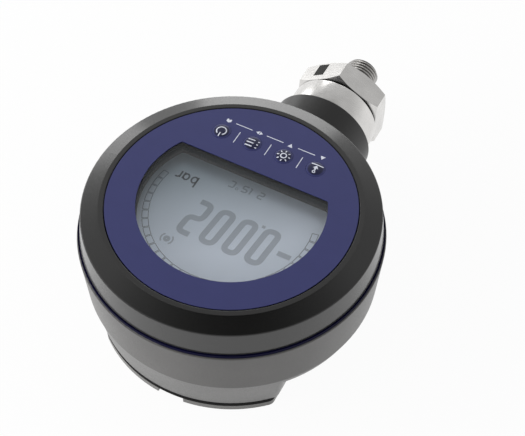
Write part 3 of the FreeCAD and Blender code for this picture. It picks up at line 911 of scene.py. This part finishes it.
def connection_rows():
    """Rows of the turned piece, each a function of the direction that gives (radius, distance)."""
    start_s = thread_s + undercut_w
    end_s = thread_s + thread_len
    tip_s = end_s + spigot_h
    round_r = collar_r - collar_round
    flat_r = hex_across / 2.0
    rows = stem_rows() + [ring(stem_r, collar_s)]
    rows += rounded(round_r, collar_s + collar_round, -90.0, 0.0)
    rows += rounded(round_r, groove_s - collar_round, 0.0, 90.0)
    rows += [ring(groove_r, groove_s), ring(groove_r, hex_s), ring(flat_r, hex_s)]
    rows.append(lambda turn: (hexagon_radius(turn)[0], hex_s + hexagon_radius(turn)[1]))
    rows.append(lambda turn: (hexagon_radius(turn)[0], thread_s - hexagon_radius(turn)[1]))
    rows += [ring(flat_r, thread_s), ring(undercut_r, thread_s)]
    steps = round((end_s - start_s) / thread_pitch * thread_rows)
    for step in range(steps + 1):
        s = start_s + (end_s - start_s) * step / steps
        rows.append(lambda turn, s=s: (thread_radius(turn, s, start_s, end_s), s))
    rows += [ring(spigot_r, end_s), ring(spigot_r, tip_s)]
    rows += [ring(port_r + port_mouth, tip_s), ring(port_r, tip_s - port_mouth)]
    return rows


def connection_point(turn, radius, s):
    """A place on the connection in the frame."""
    return radius * math.cos(turn), -neck_end - s, axis_z + radius * math.sin(turn)


def draw_connection(materials):
    """Turned connection with its spanner flats and its thread, in place of the plain solid."""
    rows = connection_rows()
    corner = hex_turn + hex_step / 2.0
    turns = [corner + 2.0 * math.pi * column / columns for column in range(columns)]
    points = [connection_point(turn, *row(turn)) for row in rows for turn in turns]
    faces = []
    for row in range(len(rows)):
        here = row * columns
        above = (row + 1) % len(rows) * columns
        for a in range(columns):
            b = (a + 1) % columns
            faces.append([here + a, here + b, above + b, above + a])
    steel = materials["turned_steel"]
    piece = new_piece("threaded_connection", points, faces, "connection", steel, thread_edge)
    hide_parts("process_connection")


def draw_etching(materials):
    """Dark etched field, left without any sign, on one spanner flat."""
    turn = hex_turn - hex_step
    outward = Vector((math.cos(turn), 0, math.sin(turn)))
    across = Vector((-math.sin(turn), 0, math.cos(turn)))
    middle = Vector((0, -neck_end - (hex_s + thread_s) / 2.0, axis_z)) + outward * hex_across / 2.0
    (a0, a1), (s0, s1) = etch_side, etch_along
    low = [middle + across * a - Vector((0, s, 0)) for a, s in ((a0, s0), (a1, s0), (a1, s1), (a0, s1))]
    high = [point + outward * ink_t for point in low]
    faces = [[3, 2, 1, 0], [4, 5, 6, 7]] + [[a, (a + 1) % 4, (a + 1) % 4 + 4, a + 4] for a in range(4)]
    new_piece("etched_field", low + high, faces, "connection", materials["etched_dark"])


# Studio


def floor_material():
    """Plain white for the camera and for mirrors, mixed with a pale surface that keeps the shadow."""
    material, tree, shader = new_material("floor_white")
    tree.nodes.remove(shader)
    plain = tree.nodes.new("ShaderNodeBsdfDiffuse")
    plain.inputs["Color"].default_value = grey(floor_grey)
    white = tree.nodes.new("ShaderNodeEmission")
    path = tree.nodes.new("ShaderNodeLightPath").outputs
    mirrors = math_of(tree, "MAXIMUM", path["Is Glossy Ray"], path["Is Transmission Ray"])
    sees = math_of(tree, "MAXIMUM", path["Is Camera Ray"], mirrors)
    share = math_of(tree, "MULTIPLY", sees, floor_glow)
    mixed_surface(tree, share, plain.outputs["BSDF"], white.outputs["Emission"])
    return material


def draw_floor():
    """Pale floor under the part."""
    z = cad_low.z - floor_drop
    corners = [(x * floor_side, y * floor_side, z) for x, y in ((-1, -1), (1, -1), (1, 1), (-1, 1))]
    mesh = bpy.data.meshes.new("floor")
    mesh.from_pydata(corners, [], [[0, 1, 2, 3]])
    mesh.materials.append(floor_material())
    floor = bpy.data.objects.new("floor", mesh)
    bpy.context.scene.collection.objects.link(floor)


def draw_sky():
    """Studio light: bright round the horizon and dark overhead."""
    world = bpy.data.worlds.new("studio")
    bpy.context.scene.world = world
    world.use_nodes = True
    tree = world.node_tree
    split = tree.nodes.new("ShaderNodeSeparateXYZ")
    tree.links.new(place_in(tree, "Generated"), split.inputs["Vector"])
    light = grey_ramp(tree, split.outputs["Z"], sky_levels)
    tree.links.new(light, tree.nodes["Background"].inputs["Color"])


def add_lamp(name, toward, size, power, mirrored):
    """Soft rectangular lamp that faces the object from a direction."""
    data = bpy.data.lights.new(name, "AREA")
    data.shape = "RECTANGLE"
    data.size, data.size_y = size
    data.energy = power
    lamp = bpy.data.objects.new(name, data)
    lamp.location = toward * lamp_far
    lamp.rotation_mode = "QUATERNION"
    lamp.rotation_quaternion = toward.to_track_quat("Z", "Y")
    lamp.visible_glossy = mirrored
    bpy.context.scene.collection.objects.link(lamp)


def draw_lamps():
    """Low lamps behind the object and to its left, as the photograph's highlights show."""
    heading = math.atan2(camera_aim.y, camera_aim.x)
    for name, lamp in lamps.items():
        turn = heading + math.radians(lamp["turn"])
        rise = math.radians(lamp["rise"])
        level = math.cos(rise)
        toward = Vector((level * math.cos(turn), level * math.sin(turn), math.sin(rise)))
        add_lamp(name, toward, lamp["size"], lamp["power"], lamp["mirrored"])


def place_camera():
    """Camera at the photograph's place, aim, roll and lens."""
    data = bpy.data.cameras.new("camera")
    data.sensor_width = sensor_w
    data.lens = focal_px * sensor_w / image_w
    data.clip_start = clip_near
    data.clip_end = clip_far
    camera = bpy.data.objects.new("camera", data)
    camera.location = camera_place
    camera.rotation_mode = "QUATERNION"
    camera.rotation_quaternion = camera_aim.to_track_quat("-Z", "Y") @ Quaternion((0, 0, 1), camera_roll)
    bpy.context.scene.collection.objects.link(camera)
    bpy.context.scene.camera = camera


def dress_nodes(materials):
    """Gives each CAD node the material of its slot, and the battery cover a lighter one whose paleness is painted
    light from the floor.
    """
    for subpart in frame["record"]["subparts"]:
        mesh = nodes[subpart["node"]].data
        mesh.materials.clear()
        mesh.materials.append(materials[subpart["material_slot"]])
    nodes["battery_cover"].data.materials[0] = materials["cover_plastic_painted_light"]


materials = make_materials()
dress_nodes(materials)
draw_keys(materials)
draw_foil(materials)
draw_reading(materials)
draw_unit(materials)
draw_small_signs(materials)
draw_cells(materials)
draw_connection(materials)
draw_etching(materials)
draw_floor()
draw_sky()
draw_lamps()
place_camera()
bpy.context.scene.view_settings.view_transform = "Standard"
